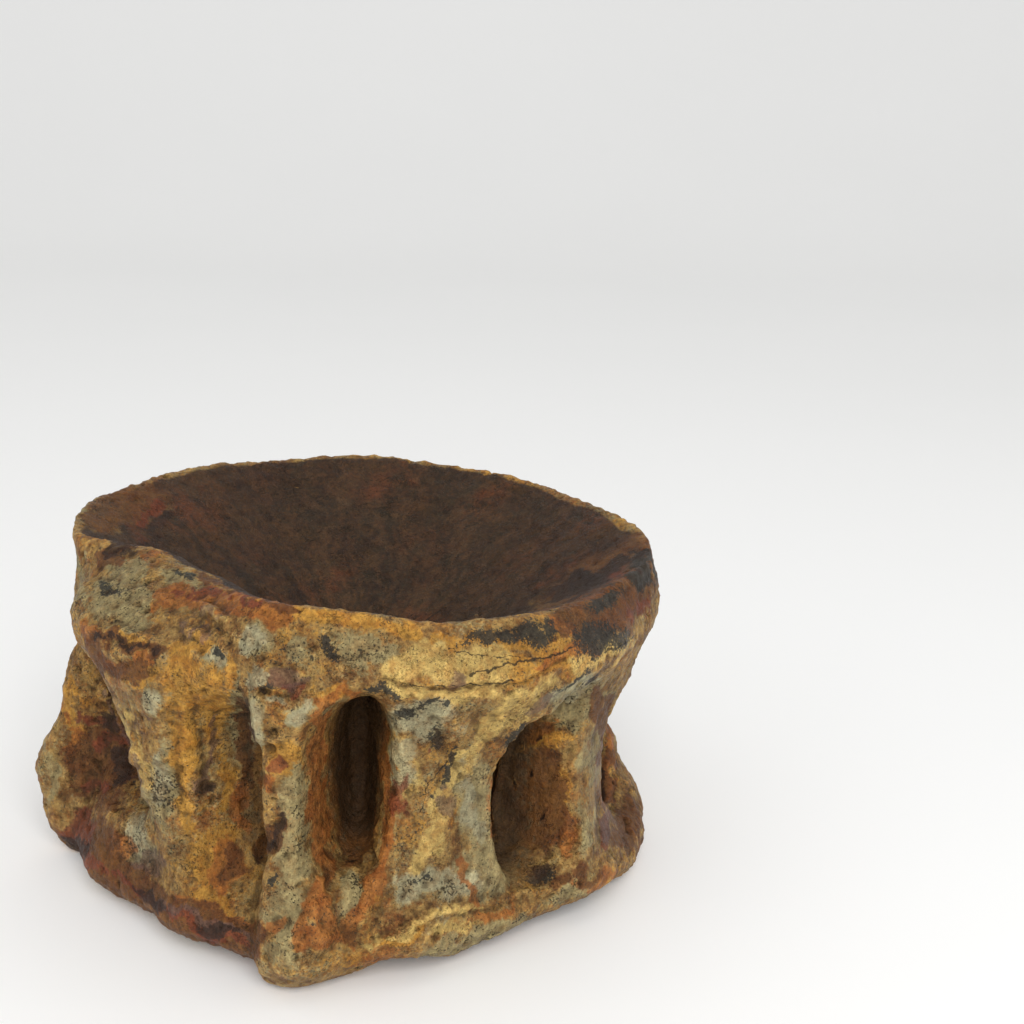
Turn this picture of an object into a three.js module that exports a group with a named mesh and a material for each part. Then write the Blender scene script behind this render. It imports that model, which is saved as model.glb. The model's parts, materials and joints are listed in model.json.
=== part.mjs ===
// Fossil fish vertebra: the centrum of a large fish's backbone, one solid bone standing on its lower end.
// Both ends are cupped, the side is drawn in at the waist, and pits lie between upright columns and struts.
// Millimetres and degrees, +Z up. Angles run counterclockwise seen from above: 0 is +X and -90 is the front.
import * as THREE from 'three';
import { ParametricGeometry } from 'three/addons/geometries/ParametricGeometry.js';
import { mergeVertices } from 'three/addons/utils/BufferGeometryUtils.js';

// Driving dimensions of the bone
const HEIGHT = 35.0; // floor to the upper rim, before wear
const RIM_RADIUS = 29.5; // outer edge of both rims
const WAIST_RADIUS = 26.0; // on a column, half way up
const WAIST_HEIGHT = 15.2;
const FLARE_HEIGHT = 11.8; // from the waist to where a rim has its full radius
const LOWER_BEVEL = 4.6; // height of the lower rim's rounded edge
const UPPER_BEVEL = 5.0;
const LOWER_ROUNDNESS = 1.1; // of that edge: 1 is a quarter ellipse, and 2 is a straight chamfer
const UPPER_ROUNDNESS = 1.4;
const STANDING_RADIUS = 24.0; // middle of the flat ring that the bone stands on
const STANDING_WIDTH = 2.0;
const UPPER_CREST = 26.8; // radius of the upper rim's highest line
const CUP_DEPTH = 15.5;
const CUP_CURVE = 1.18; // 1 is a straight cone, and more is rounder at the bottom

// The upper rim slopes, because it is worn lower on one side, with a stretch that has kept its height
const RIM_WEAR = 2.3;
const WORN_SIDE = -40;
const KEPT_RIM = { name: 'front rim', angle: -100, spread: 26, height: 1.6 };

// Stretches of the upper rim where the crest lies further in, as a broad shoulder, or further out
const CREST_SHIFTS = [
  { name: 'front left shoulder', angle: -139, spread: 34, shift: -6.2 },
  { name: 'left corner', angle: 176, spread: 24, shift: 1.4 },
  { name: 'right corner', angle: -6, spread: 26, shift: 1.4 },
];

// Stretches of the lower rim that are worn up from the floor
const FOOT_WEARS = [
  { name: 'front right foot', angle: -46, spread: 34, height: 1.4 },
  { name: 'notch beside the front strut', angle: -83, spread: 10, height: 1.6 },
  { name: 'front left foot', angle: -126, spread: 22, height: 0.9 },
];
const STRETCH_CORE = 0.3; // share of a stretch's spread that has its full shift or height

// Hollows in the side. at is the middle, as angle and height. sides are the half widths to its left and
// right, in degrees, and reach is the half height. floor is the share of the way out that is the hollow's
// bottom, and lean turns the middle with height, in degrees per mm.
const HOLLOWS = [
  { name: 'front pit', at: [-90, 18.2], sides: [11, 5], reach: 9.3, depth: 9.2, floor: 0.42, lean: 0.1 },
  { name: 'front right pit', at: [-55, 14], sides: [8.5, 12.5], reach: 8.4, depth: 8.6, floor: 0.5, lean: 0 },
  { name: 'front right shelf', at: [-47, 20], sides: [9, 8], reach: 5, depth: 2.6, floor: 0.2, lean: 0 },
  { name: 'right pit', at: [-14, 13.2], sides: [12, 12], reach: 8.4, depth: 7.6, floor: 0.35, lean: 0 },
  { name: 'right fossa', at: [21, 16.5], sides: [11, 11], reach: 9, depth: 6, floor: 0.3, lean: 0.3 },
  { name: 'back right fossa', at: [53, 16], sides: [11, 11], reach: 9.4, depth: 6.2, floor: 0.3, lean: -0.4 },
  { name: 'back pit', at: [90, 17.2], sides: [8, 10], reach: 9.6, depth: 8, floor: 0.4, lean: 0 },
  { name: 'back left pit', at: [129, 14.8], sides: [18, 10], reach: 8.8, depth: 8, floor: 0.35, lean: 0.1 },
  { name: 'left pit', at: [163, 17.4], sides: [10, 10], reach: 9, depth: 7, floor: 0.35, lean: 0 },
  { name: 'left fossa', at: [-153, 17.6], sides: [24, 11], reach: 8.8, depth: 7, floor: 0.2, lean: -0.8 },
  { name: 'front left fossa', at: [-111, 16], sides: [20, 4], reach: 12, depth: 4.2, floor: 0.1, lean: 0 },
  { name: 'left shoulder dent', at: [-167, 28], sides: [20, 15], reach: 6, depth: 1.4, floor: 0.3, lean: 0 },
  { name: 'front left dent', at: [-139, 2], sides: [16, 15], reach: 8, depth: 1.5, floor: 0.2, lean: 0 },
  { name: 'front right dent', at: [-60, 1], sides: [22, 24], reach: 8, depth: 2.4, floor: 0.2, lean: 0 },
];
const HOLLOW_SQUARENESS = 2; // 1 is an oval hollow, and more has longer straight sides

// Struts stand out from the side. left and right say where each flank starts and ends, in degrees from the
// strut's middle. foot is how far its base carries the standing ring outwards. rise is how far it stands out,
// at each of RISE_HEIGHTS.
const RISE_HEIGHTS = [0, 5, 10, 15, 20, 25, 30, 35];
const STRUTS = [
  {
    name: 'front strut', angle: -104, left: [3.6, 5.4], right: [2.5, 11], foot: 3.6, lean: 0,
    rise: [0.8, 2.2, 3.4, 3.6, 3.2, 2.2, 0.4, 0],
  },
  {
    name: 'front strut spur', angle: -98, left: [3, 8], right: [1.5, 6], foot: 2.0, lean: 0,
    rise: [0, 1.0, 0.4, 0, 0, 0, 0, 0],
  },
  {
    name: 'left strut', angle: -176, left: [4, 10], right: [2.5, 7], foot: 5.0, lean: 0,
    rise: [1.2, 3.7, 6.0, 4.4, 2.8, -0.3, -1.6, 0.2],
  },
  {
    name: 'front left ridge', angle: -129, left: [6, 10], right: [5, 15], foot: 0, lean: -0.7,
    rise: [0, 0, 0.8, 1.7, 1.9, 0.9, 0, 0],
  },
  {
    name: 'right strut', angle: 3, left: [2, 6], right: [2, 6], foot: 0, lean: 0,
    rise: [0, 0.6, 0.3, -1.2, -1.2, -0.2, 0, 0],
  },
  {
    name: 'right foot', angle: -10, left: [12, 28], right: [10, 24], foot: 2.8, lean: 0,
    rise: [0.8, -0.5, -1.4, -0.6, 0, 0, 0, 0],
  },
  {
    name: 'back right ridge', angle: 37, left: [3, 7], right: [3, 7], foot: 0, lean: 0,
    rise: [0, 0.3, 1.0, 1.4, 1.2, 0.4, 0, 0],
  },
  {
    name: 'back strut', angle: 72, left: [2.5, 9], right: [2.5, 5], foot: 2.4, lean: 0,
    rise: [0.4, 1.4, 2.6, 2.8, 2.2, 0.8, 0, 0],
  },
  {
    name: 'back left column', angle: 146, left: [2, 6], right: [2, 6], foot: 0, lean: 0,
    rise: [0, 0.2, 0.6, 0.8, 0.6, 0.2, 0, 0],
  },
];

// Weathering: the slow unevenness of an old bone, as waves around it. upward is a wave's turn per mm up.
const WALL_WAVES = [
  { around: 4, upward: 0.16, phase: 0.6, depth: 0.17 },
  { around: 7, upward: -0.23, phase: 2.1, depth: 0.17 },
  { around: 11, upward: 0.55, phase: 0.3, depth: 0.12 },
  { around: 16, upward: -0.7, phase: 1.4, depth: 0.08 },
];
const RIM_WAVES = [
  { around: 5, upward: 0, phase: 1, depth: 0.16 },
  { around: 9, upward: 0, phase: 0, depth: 0.1 },
];

// How finely the surface is divided. The front, where the narrow pit is, has closer slices.
const FRONT = { from: -178, to: -28, slices: 74 };
const BACK_SLICES = 56;
const ROWS = { lowerCup: 6, standing: 1, lowerBevel: 4, wall: 18, upperBevel: 4, upperCup: 7 };
const WELD = 1e-4;

const { smoothstep, degToRad, lerp } = THREE.MathUtils;
const wrapDegrees = (angle) => THREE.MathUtils.euclideanModulo(angle + 180, 360) - 180;

// A hollow's depth at a place: full at its bottom, nothing beyond its half widths and half height
function hollowDepth({ at, sides, reach, depth, floor, lean }, angle, z) {
  const aside = wrapDegrees(angle - at[0] - lean * (z - at[1]));
  const across = Math.abs(aside) / (aside < 0 ? sides[0] : sides[1]);
  const along = Math.abs(z - at[1]) / reach;
  const outward = Math.hypot(across, along ** HOLLOW_SQUARENESS);
  return depth * (1 - smoothstep(outward, floor, 1));
}

// 1 on a strut's face, falling to 0 down its two flanks
function strutShare({ angle: middle, left, right, lean }, angle, z) {
  const aside = wrapDegrees(angle - middle - lean * (z - WAIST_HEIGHT));
  const [flankStart, flankEnd] = aside < 0 ? left : right;
  return 1 - smoothstep(Math.abs(aside), flankStart, flankEnd);
}

const riseCurves = STRUTS.map(({ rise }) => new THREE.CubicInterpolant(RISE_HEIGHTS, rise, 1));

function strutRise(index, angle, z) {
  return strutShare(STRUTS[index], angle, z) * riseCurves[index].evaluate(z)[0];
}

function unevenness(waves, angle, z) {
  let sum = 0;
  for (const { around, upward, phase, depth } of waves) {
    sum += depth * Math.sin(around * degToRad(angle) + upward * z + phase);
  }
  return sum;
}

// The bone's side: an hourglass, with the struts added and the hollows taken away
function wallRadius(angle, z) {
  const flare = Math.min(1, Math.abs(z - WAIST_HEIGHT) / FLARE_HEIGHT);
  let radius = lerp(WAIST_RADIUS, RIM_RADIUS, flare ** 2) + unevenness(WALL_WAVES, angle, z);
  for (const index of STRUTS.keys()) radius += strutRise(index, angle, z);
  for (const hollow of HOLLOWS) radius -= hollowDepth(hollow, angle, z);
  return radius;
}

// Outer edge of the standing ring, carried out under the struts that reach the floor
function standingEdge(angle) {
  const reaches = STRUTS.map((strut) => strutShare(strut, angle, 0) * strut.foot);
  return STANDING_RADIUS + STANDING_WIDTH / 2 + Math.max(...reaches);
}

// 1 in the core of a stretch of a rim, falling to 0 at its ends
function stretchShare({ angle: middle, spread }, angle) {
  return 1 - smoothstep(Math.abs(wrapDegrees(angle - middle)) / spread, STRETCH_CORE, 1);
}

function upperRimHeight(angle) {
  const worn = RIM_WEAR * (1 + Math.cos(degToRad(angle - WORN_SIDE))) / 2;
  const kept = KEPT_RIM.height * stretchShare(KEPT_RIM, angle);
  return HEIGHT - worn + kept + unevenness(RIM_WAVES, angle, 0);
}

function lowerRimHeight(angle) {
  return FOOT_WEARS.reduce((sum, wear) => sum + wear.height * stretchShare(wear, angle), 0);
}

function upperCrestRadius(angle) {
  const shifts = CREST_SHIFTS.map((stretch) => stretch.shift * stretchShare(stretch, angle));
  return shifts.reduce((radius, shift) => radius + shift, UPPER_CREST);
}

// The six stretches of the outline, each from 0 to 1, as radius and height at an angle
const cupHeight = (share, rimHeight, floorHeight) => lerp(floorHeight, rimHeight, share ** CUP_CURVE);
const bevelShares = (turn, roundness) => [Math.cos(turn) ** roundness, Math.sin(turn) ** roundness];
const lowerCupEdge = STANDING_RADIUS - STANDING_WIDTH / 2;
const STRETCHES = {
  lowerCup: (t, angle) => [t * lowerCupEdge, cupHeight(t, lowerRimHeight(angle), CUP_DEPTH)],
  standing: (t, angle) => [lerp(lowerCupEdge, standingEdge(angle), t), lowerRimHeight(angle)],
  lowerBevel: (t, angle) => {
    const [out, down] = bevelShares((1 - t) * Math.PI / 2, LOWER_ROUNDNESS);
    const z = lerp(LOWER_BEVEL, lowerRimHeight(angle), down);
    return [lerp(standingEdge(angle), wallRadius(angle, z), out), z];
  },
  wall: (t, angle) => {
    const z = lerp(LOWER_BEVEL, upperRimHeight(angle) - UPPER_BEVEL, t);
    return [wallRadius(angle, z), z];
  },
  upperBevel: (t, angle) => {
    const [out, up] = bevelShares(t * Math.PI / 2, UPPER_ROUNDNESS);
    const z = upperRimHeight(angle) - UPPER_BEVEL * (1 - up);
    return [lerp(upperCrestRadius(angle), wallRadius(angle, z), out), z];
  },
  upperCup: (t, angle) => {
    const z = cupHeight(1 - t, upperRimHeight(angle), HEIGHT - CUP_DEPTH);
    return [(1 - t) * upperCrestRadius(angle), z];
  },
};

function sliceAngle(share) {
  const slice = share * (FRONT.slices + BACK_SLICES);
  if (slice <= FRONT.slices) return lerp(FRONT.from, FRONT.to, slice / FRONT.slices);
  return lerp(FRONT.to, FRONT.from + 360, (slice - FRONT.slices) / BACK_SLICES);
}

const rowCount = Object.values(ROWS).reduce((sum, rows) => sum + rows, 0);

function outlineAt(share, angle) {
  let row = share * rowCount;
  for (const [name, rows] of Object.entries(ROWS)) {
    if (row <= rows + WELD) return STRETCHES[name](Math.min(1, row / rows), angle);
    row -= rows;
  }
  throw new Error('the outline has no such row');
}

function bonePoint(around, along, target) {
  const angle = sliceAngle(around);
  const [radius, z] = outlineAt(along, angle);
  target.set(radius * Math.cos(degToRad(angle)), radius * Math.sin(degToRad(angle)), z);
}

// Joins the seam and the two poles, so that the surface closes
function closedSurface(geometry) {
  geometry.deleteAttribute('normal');
  geometry.deleteAttribute('uv');
  const welded = mergeVertices(geometry, WELD);
  const corners = welded.getIndex().array;
  const kept = [];
  for (let i = 0; i < corners.length; i += 3) {
    const [a, b, c] = corners.slice(i, i + 3);
    if (a !== b && b !== c && c !== a) kept.push(a, b, c);
  }
  welded.setIndex(kept);
  welded.computeVertexNormals();
  return welded;
}

function makeCentrum() {
  const surface = new ParametricGeometry(bonePoint, FRONT.slices + BACK_SLICES, rowCount);
  const bone = new THREE.MeshStandardMaterial({ color: 0x9c7c4c, roughness: 0.65, metalness: 0 });
  const centrum = new THREE.Mesh(closedSurface(surface), bone);
  centrum.name = 'centrum';
  return centrum;
}

// The struts reach past the rims on two sides, so the bone is set with the middle of its box over the origin
const centrum = makeCentrum();
const box = new THREE.Box3().setFromObject(centrum);
const middle = box.getCenter(new THREE.Vector3());
centrum.position.set(-middle.x, -middle.y, -box.min.z);

const vertebra = new THREE.Group();
vertebra.name = 'vertebra';
vertebra.add(centrum);

export default vertebra;
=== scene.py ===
# %% [markdown]
# A fossil vertebra, modelled in Blender around its solid
#
# The bone is the centrum of a large fish's backbone: two cupped ends, a drawn-in waist, and deep pits
# between upright struts. Its solid is already made at its real size, and this lesson gives it what the
# solid leaves out: the weathered surface, the stains of the ground it lay in, and the light of a photo
# studio. The solid is loaded first and kept as it is, and everything is measured from it.

# %% Load the solid and measure it
import json
import math
import random

import bmesh
import bpy
import numpy as np
from mathutils import Matrix, Vector, noise
from mathutils.bvhtree import BVHTree


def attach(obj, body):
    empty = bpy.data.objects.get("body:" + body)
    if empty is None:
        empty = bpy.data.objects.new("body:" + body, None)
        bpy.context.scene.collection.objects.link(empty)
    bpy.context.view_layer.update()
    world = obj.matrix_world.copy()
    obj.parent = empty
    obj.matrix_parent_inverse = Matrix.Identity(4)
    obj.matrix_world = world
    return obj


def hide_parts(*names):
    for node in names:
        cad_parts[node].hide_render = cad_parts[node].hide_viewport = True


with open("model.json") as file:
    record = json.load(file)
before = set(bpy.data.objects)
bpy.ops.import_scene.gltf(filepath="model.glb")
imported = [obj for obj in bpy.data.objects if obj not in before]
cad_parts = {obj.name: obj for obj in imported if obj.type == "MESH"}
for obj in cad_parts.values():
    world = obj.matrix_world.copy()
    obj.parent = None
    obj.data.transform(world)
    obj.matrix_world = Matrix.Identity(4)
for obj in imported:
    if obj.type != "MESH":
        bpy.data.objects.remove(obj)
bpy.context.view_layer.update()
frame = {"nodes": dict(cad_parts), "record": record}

MM = 0.001
solid = frame["nodes"]["centrum"]

# the mount lies on the lower rim, this far behind the bone's axis
STANDING_RADIUS = 24.0
standing_point = Vector(frame["record"]["mounts"][0]["pos_m"])
bone_axis = standing_point - Vector((0, STANDING_RADIUS * MM, 0))
print("bone axis in mm:", [round(part / MM, 2) for part in bone_axis])

# %% [markdown]
# The camera
#
# The camera comes first, because the marks on the bone are placed by where the photograph shows them. Its
# place and turn were found by laying the two round rims, which the photograph shows as ovals, over rings
# of the real size. A focal length in pixels becomes a lens by the width of the sensor.

# %% Set the camera at the photograph's viewing angle
FRAME_PIXELS = 1024
FOCAL_PIXELS = 1433.0
SENSOR_MM = 36.0
CLIP_START_M = 0.005
CAMERA_FROM_AXIS = Vector((0, -138.08, 73.61))
TURN_RIGHT, TILT_DOWN, ROLL = (math.radians(angle) for angle in (6.01, 15.44, 2.0))


def add_camera():
    lens = bpy.data.cameras.new("studio_camera")
    lens.sensor_width = SENSOR_MM
    lens.lens = SENSOR_MM * FOCAL_PIXELS / FRAME_PIXELS
    lens.clip_start = CLIP_START_M
    camera = bpy.data.objects.new("studio_camera", lens)
    bpy.context.scene.collection.objects.link(camera)
    level = Matrix.Rotation(math.radians(90) - TILT_DOWN, 4, "X")
    turn = Matrix.Rotation(-TURN_RIGHT, 4, "Z") @ level @ Matrix.Rotation(ROLL, 4, "Z")
    camera.matrix_world = Matrix.Translation(bone_axis + CAMERA_FROM_AXIS * MM) @ turn
    bpy.context.scene.camera = camera
    return camera


camera = add_camera()
camera_place = np.array(camera.matrix_world.translation) / MM
camera_turn = np.array(camera.matrix_world.to_3x3())
print("camera at", camera_place.round(1), "mm, lens", round(camera.data.lens, 2), "mm")

# %% [markdown]
# An even skin to sculpt on
#
# The solid has long flat facets, too few for a weathered surface. One way is to subdivide it, but then
# the points lie close in one place and far apart in another. A voxel remesh lays an even net over the
# whole bone, as a sculptor would before carving, so every lump is carved equally well. The facets are
# rounded first, by a subdivision of the solid's four-sided faces.

# %% Lay an even net over the solid
NET_MM = 0.24
ROUNDING_LEVELS = 2
NET_SMOOTHING, SMOOTHING_SHARE = 6, 0.5
WELD_DISTANCE = 1e-6
FLATTEST_FOLD = math.radians(70)


def linked(name, mesh):
    piece = bpy.data.objects.new(name, mesh)
    bpy.context.scene.collection.objects.link(piece)
    return piece


def apply_modifiers(piece):
    graph = bpy.context.evaluated_depsgraph_get()
    mesh = bpy.data.meshes.new_from_object(piece.evaluated_get(graph))
    piece.modifiers.clear()
    piece.data = mesh


def four_sided_copy(mesh):
    work = bmesh.new()
    work.from_mesh(mesh)
    bmesh.ops.remove_doubles(work, verts=work.verts, dist=WELD_DISTANCE)
    bmesh.ops.join_triangles(
        work, faces=work.faces, angle_face_threshold=FLATTEST_FOLD, angle_shape_threshold=FLATTEST_FOLD
    )
    copy = bpy.data.meshes.new("fossil_centrum")
    work.to_mesh(copy)
    work.free()
    return copy


def even_skin():
    bone = linked("fossil_centrum", four_sided_copy(solid.data))
    rounding = bone.modifiers.new("rounding", "SUBSURF")
    rounding.levels = rounding.render_levels = ROUNDING_LEVELS
    net = bone.modifiers.new("net", "REMESH")
    net.mode = "VOXEL"
    net.voxel_size = NET_MM * MM
    smoothing = bone.modifiers.new("smoothing", "SMOOTH")
    smoothing.factor = SMOOTHING_SHARE
    smoothing.iterations = NET_SMOOTHING
    apply_modifiers(bone)
    return bone


bone = even_skin()
print("the net has", len(bone.data.vertices), "points")

# %% [markdown]
# Reading and writing all points at once
#
# A sculpt brush moves points one stroke at a time. Here the points are read into one array, so that a
# stroke is a sum over all of them. Each point also gets its place in the photograph, found with the
# camera, which tells whether a stroke reaches it. Heights and angles are taken about the bone's own axis.
# Two noises shake the edges of the strokes, so that none is a clean oval.

# %% Points as arrays, in millimetres
RAGGED_MM = 2.4
RAGGED_SHIFTS = (91.0, 57.0)
HALF_FRAME = FRAME_PIXELS / 2


def read_points(mesh):
    flat = np.empty(len(mesh.vertices) * 3)
    mesh.vertices.foreach_get("co", flat)
    return flat.reshape(-1, 3) / MM


def read_normals(mesh):
    flat = np.empty(len(mesh.vertices) * 3, np.float32)
    mesh.vertex_normals.foreach_get("vector", flat)
    return flat.reshape(-1, 3).astype(float)


def write_points(mesh, points):
    mesh.vertices.foreach_set("co", (points * MM).ravel())
    mesh.update()


def smoothstep(values, low, high):
    share = np.clip((values - low) / (high - low), 0, 1)
    return share * share * (3 - 2 * share)


def fractal(points, size, octaves=4, shift=0.0):
    """Noise from about -1 to 1 whose largest lumps are as far apart as size."""
    places = (points / size + shift).tolist()
    return np.array([noise.fractal(place, 1.0, 2.0, octaves) for place in places])


class Surface:
    """The bone's points with what a stroke needs to know of each."""

    def __init__(self, mesh):
        self.points = read_points(mesh)
        self.normals = read_normals(mesh)
        from_axis = self.points - np.array(bone_axis) / MM
        self.radius = np.hypot(from_axis[:, 0], from_axis[:, 1])
        self.height = self.points[:, 2]
        self.angle = np.degrees(np.arctan2(from_axis[:, 1], from_axis[:, 0]))
        outward = from_axis[:, :2] / np.maximum(self.radius, 1)[:, None]
        self.outward = np.einsum("ij,ij->i", self.normals[:, :2], outward)
        to_camera = camera_place - self.points
        view = -to_camera @ camera_turn
        self.depth = -view[:, 2]
        self.pixel_x = HALF_FRAME + FOCAL_PIXELS * view[:, 0] / self.depth
        self.pixel_y = HALF_FRAME - FOCAL_PIXELS * view[:, 1] / self.depth
        distance = np.linalg.norm(to_camera, axis=1)
        self.facing = np.einsum("ij,ij->i", self.normals, to_camera) / distance
        self.ragged_x, self.ragged_y = (
            fractal(self.points, RAGGED_MM, octaves=5, shift=shift) for shift in RAGGED_SHIFTS
        )


surface = Surface(bone.data)
bone_tree = BVHTree.FromObject(bone, bpy.context.evaluated_depsgraph_get())
print("points that face the camera:", int((surface.facing > 0).sum()))

# %% [markdown]
# Strokes placed by the photograph
#
# A stroke is an oval in the photograph: its middle, its half width and half height in pixels, and its
# tilt. The ray through its middle is followed until it meets the bone, so the stroke sits on the surface
# and is not painted through to the other side. A line stroke runs through a few pixels, along an edge, a
# groove or a streak of colour.

# %% Ovals and lines on the bone
FACING_SOFT = (-0.2, 0.0)
STROKE_REACH_MM = 14.0
OVAL_END = 1.25
STRUT_EDGE_PIXEL = (256, 720)


def place_at(pixel):
    """Where the ray through a pixel meets the bone, or passes nearest to it, in metres."""
    right, up = pixel[0] - HALF_FRAME, HALF_FRAME - pixel[1]
    towards = Vector(camera_turn @ np.array([right / FOCAL_PIXELS, up / FOCAL_PIXELS, -1.0]))
    start = Vector(camera_place * MM)
    place = bone_tree.ray_cast(start, towards.normalized())[0]
    if place is None:
        beside = start + towards * (bone_axis - start).length
        place = bone_tree.find_nearest(beside)[0]
    return place


def visible(surface, pixel):
    depth = (camera_place - np.array(place_at(pixel)) / MM) @ camera_turn[:, 2]
    near = 1 - smoothstep(np.abs(surface.depth - depth), STROKE_REACH_MM / 2, STROKE_REACH_MM)
    return near * smoothstep(surface.facing, *FACING_SOFT)


def oval(surface, at, size, tilt=0, core=0.35, ragged=3.0):
    """1 in the middle of an oval, falling to 0 just outside it. A tilt above 0 is anticlockwise."""
    right = surface.pixel_x - at[0] + ragged * surface.ragged_x
    down = surface.pixel_y - at[1] + ragged * surface.ragged_y
    turn = math.radians(tilt)
    along = (right * math.cos(turn) - down * math.sin(turn)) / size[0]
    across = (right * math.sin(turn) + down * math.cos(turn)) / size[1]
    return (1 - smoothstep(np.hypot(along, across), core, OVAL_END)) * visible(surface, at)


def line(surface, pixels, width, core=0.0, ragged=3.0):
    """1 along a line through the pixels, falling to 0 at its width on both sides."""
    here = np.stack(
        [surface.pixel_x + ragged * surface.ragged_x, surface.pixel_y + ragged * surface.ragged_y], 1
    )
    drawn = np.zeros(len(here))
    for start, end in zip(pixels[:-1], pixels[1:]):
        start, way = np.array(start, float), np.subtract(end, start).astype(float)
        share = np.clip((here - start) @ way / (way @ way), 0, 1)
        distance = np.linalg.norm(here - start - share[:, None] * way, axis=1)
        near = 1 - smoothstep(distance, core * width, width)
        drawn = np.maximum(drawn, near * visible(surface, start + way / 2))
    return drawn


print("the front strut's edge lies at", [round(part / MM, 1) for part in place_at(STRUT_EDGE_PIXEL)], "mm")

# %% [markdown]
# The lumps, chips and grooves that the photograph shows
#
# The big forms are in the solid. What is left is what a thumb would feel: the knob on top of the front
# strut, the crumbs along the left ridge, a chip on the strut, the lips of the pits. They could be
# sculpted by hand, but here each is one stroke that pushes points out or in along their normals.

# %% Sculpt the marked lumps and grooves
LUMPS = {
    # name: middle, half size, tilt, rise in mm
    "knob on the front strut": ((274, 680), (20, 14), -10, 0.8),
    "hollow in the knob": ((267, 691), (9, 5), 24, -0.35),
    "strut edge, upper bulge": ((256, 730), (9, 16), 0, 0.35),
    "strut edge, notch": ((268, 752), (8, 8), 0, -0.35),
    "strut edge, pink lump": ((274, 772), (9, 14), 0, 0.3),
    "strut face, brown chip": ((270, 842), (12, 28), -22, -0.55),
    "strut face, low dent": ((284, 922), (14, 14), 0, -0.25),
    "wedge": ((319, 922), (12, 34), 0, 0.55),
    "wedge foot": ((323, 944), (18, 14), 0, 0.3),
    "filling right of the wedge": ((354, 894), (28, 42), -12, 0.8),
    "left ridge, top crumb": ((104, 692), (9, 12), 0, 0.35),
    "left ridge, second crumb": ((119, 724), (9, 9), 0, 0.4),
    "left ridge, third crumb": ((135, 756), (8, 10), 0, 0.35),
    "left ridge, low crumb": ((147, 790), (8, 10), 0, 0.3),
    "round plaque": ((152, 702), (17, 16), 0, 0.25),
    "crumbly ledge": ((128, 668), (34, 16), -6, -0.35),
    "shoulder, dent": ((100, 572), (22, 14), 0, -0.3),
    "flake on the shoulder": ((213, 612), (20, 7), -28, 0.4),
    "second flake": ((196, 634), (16, 6), -30, 0.3),
    "recess, purple dent": ((207, 789), (11, 9), 20, -0.4),
    "recess, upright swelling": ((190, 770), (11, 70), 6, 0.3),
    "column swelling": ((432, 828), (24, 50), 12, 0.3),
    "column flare": ((465, 745), (16, 56), 26, 0.3),
    "right column ridge": ((607, 780), (7, 60), -4, 0.4),
    "right pit, inner shelf": ((552, 742), (28, 14), 20, 0.5),
    "right pillar": ((586, 832), (9, 40), -4, 0.35),
    "lower rim, front lens": ((455, 928), (62, 16), 14, 0.3),
}
RIDGES = {
    # name: pixels, half width in pixels, rise in mm, below 0 for a groove
    "wedge, left edge": ([(318, 882), (306, 942)], 9, 0.2),
    "wedge, right edge": ([(318, 882), (334, 934)], 9, 0.2),
    "band beside the front pit": ([(398, 800), (388, 852), (366, 900)], 10, 0.3),
    "lower rim, upper edge": ([(372, 950), (400, 930), (440, 911), (500, 899), (570, 884)], 7, 0.3),
    "front pit, right lip": ([(370, 702), (384, 745), (388, 800), (380, 850)], 7, 0.35),
    "right pit, left lip": ([(513, 735), (500, 770), (494, 805), (499, 845)], 6, 0.35),
    "lip of the ledge": ([(92, 628), (120, 634), (158, 640)], 9, 0.25),
    "edge of the cream plate": ([(384, 680), (420, 689), (471, 688), (520, 683), (566, 660)], 5, -0.18),
    "crack in the flake": ([(214, 627), (226, 634), (232, 643)], 6, -0.2),
}


def sculpt_marks(surface):
    rise = np.zeros(len(surface.points))
    for at, size, tilt, height in LUMPS.values():
        rise += height * oval(surface, at, size, tilt)
    for pixels, width, height in RIDGES.values():
        rise += height * line(surface, pixels, width)
    return rise


marked = sculpt_marks(surface)
print("marks raise the bone by", marked.min().round(2), "to", marked.max().round(2), "mm")

# %% [markdown]
# Weathering all round
#
# Real bone is uneven at every scale: slow swellings, lumps of a few millimetres, crumbs and grain of
# about one, and small eaten-out pits and pores. Each is a layer of noise with its own spacing and height.
# Old bone is rougher in the hollows and on broken edges than on the worn rim and columns, so a mask
# weakens the layers there. The cups have rings of growth, like a tree.

# %% Add noise in layers
SWELLINGS = {"size": 8.0}
SWELLING_HEIGHT = 0.2
ROUGH_LAYERS = {
    # name: height in mm, noise
    "lumps": (0.12, {"size": 2.6, "shift": 7.3}),
    "grain": (0.09, {"size": 0.9, "shift": 3.1}),
}
HOLE_LAYERS = {
    # name: depth in mm, noise levels at a hole's edge and at its floor, noise
    "eaten-out pits": (0.35, (0.5, 1.1), {"size": 1.7, "shift": 11.9}),
    "pores": (0.22, (0.55, 0.95), {"size": 0.9, "octaves": 2, "shift": 17.3}),
}
CRUMB_MM, CRUMB_HEIGHT, CREASE_SHARPNESS = 1.5, 0.09, 1.6
CRUMBLY = {"size": 5.0, "shift": 2.7}
CRUMBLY_LEVELS = (-0.2, 0.5)
STRANDS = {"size": 0.9, "octaves": 3, "shift": 5.7}
STRAND_HEIGHT, STRAND_STRETCH = 0.06, (1.0, 1.0, 0.16)
RING_MM, RING_HEIGHT, RING_WANDER = 1.7, 0.035, 3.5
WANDER = {"size": 5.0, "octaves": 3}
WORN_SMOOTH, CUP_SMOOTH = 0.7, 0.6
CREST_STEP = 4
CREST_SOFT, INWARD_SOFT = (0.1, 1.1), (0.0, 0.2)
RIM_STARTS, LOWER_RIM_RADIUS, MIDDLE_HEIGHT = 15.0, 26.0, 16.0
STANDING_MM = 1.2
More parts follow.
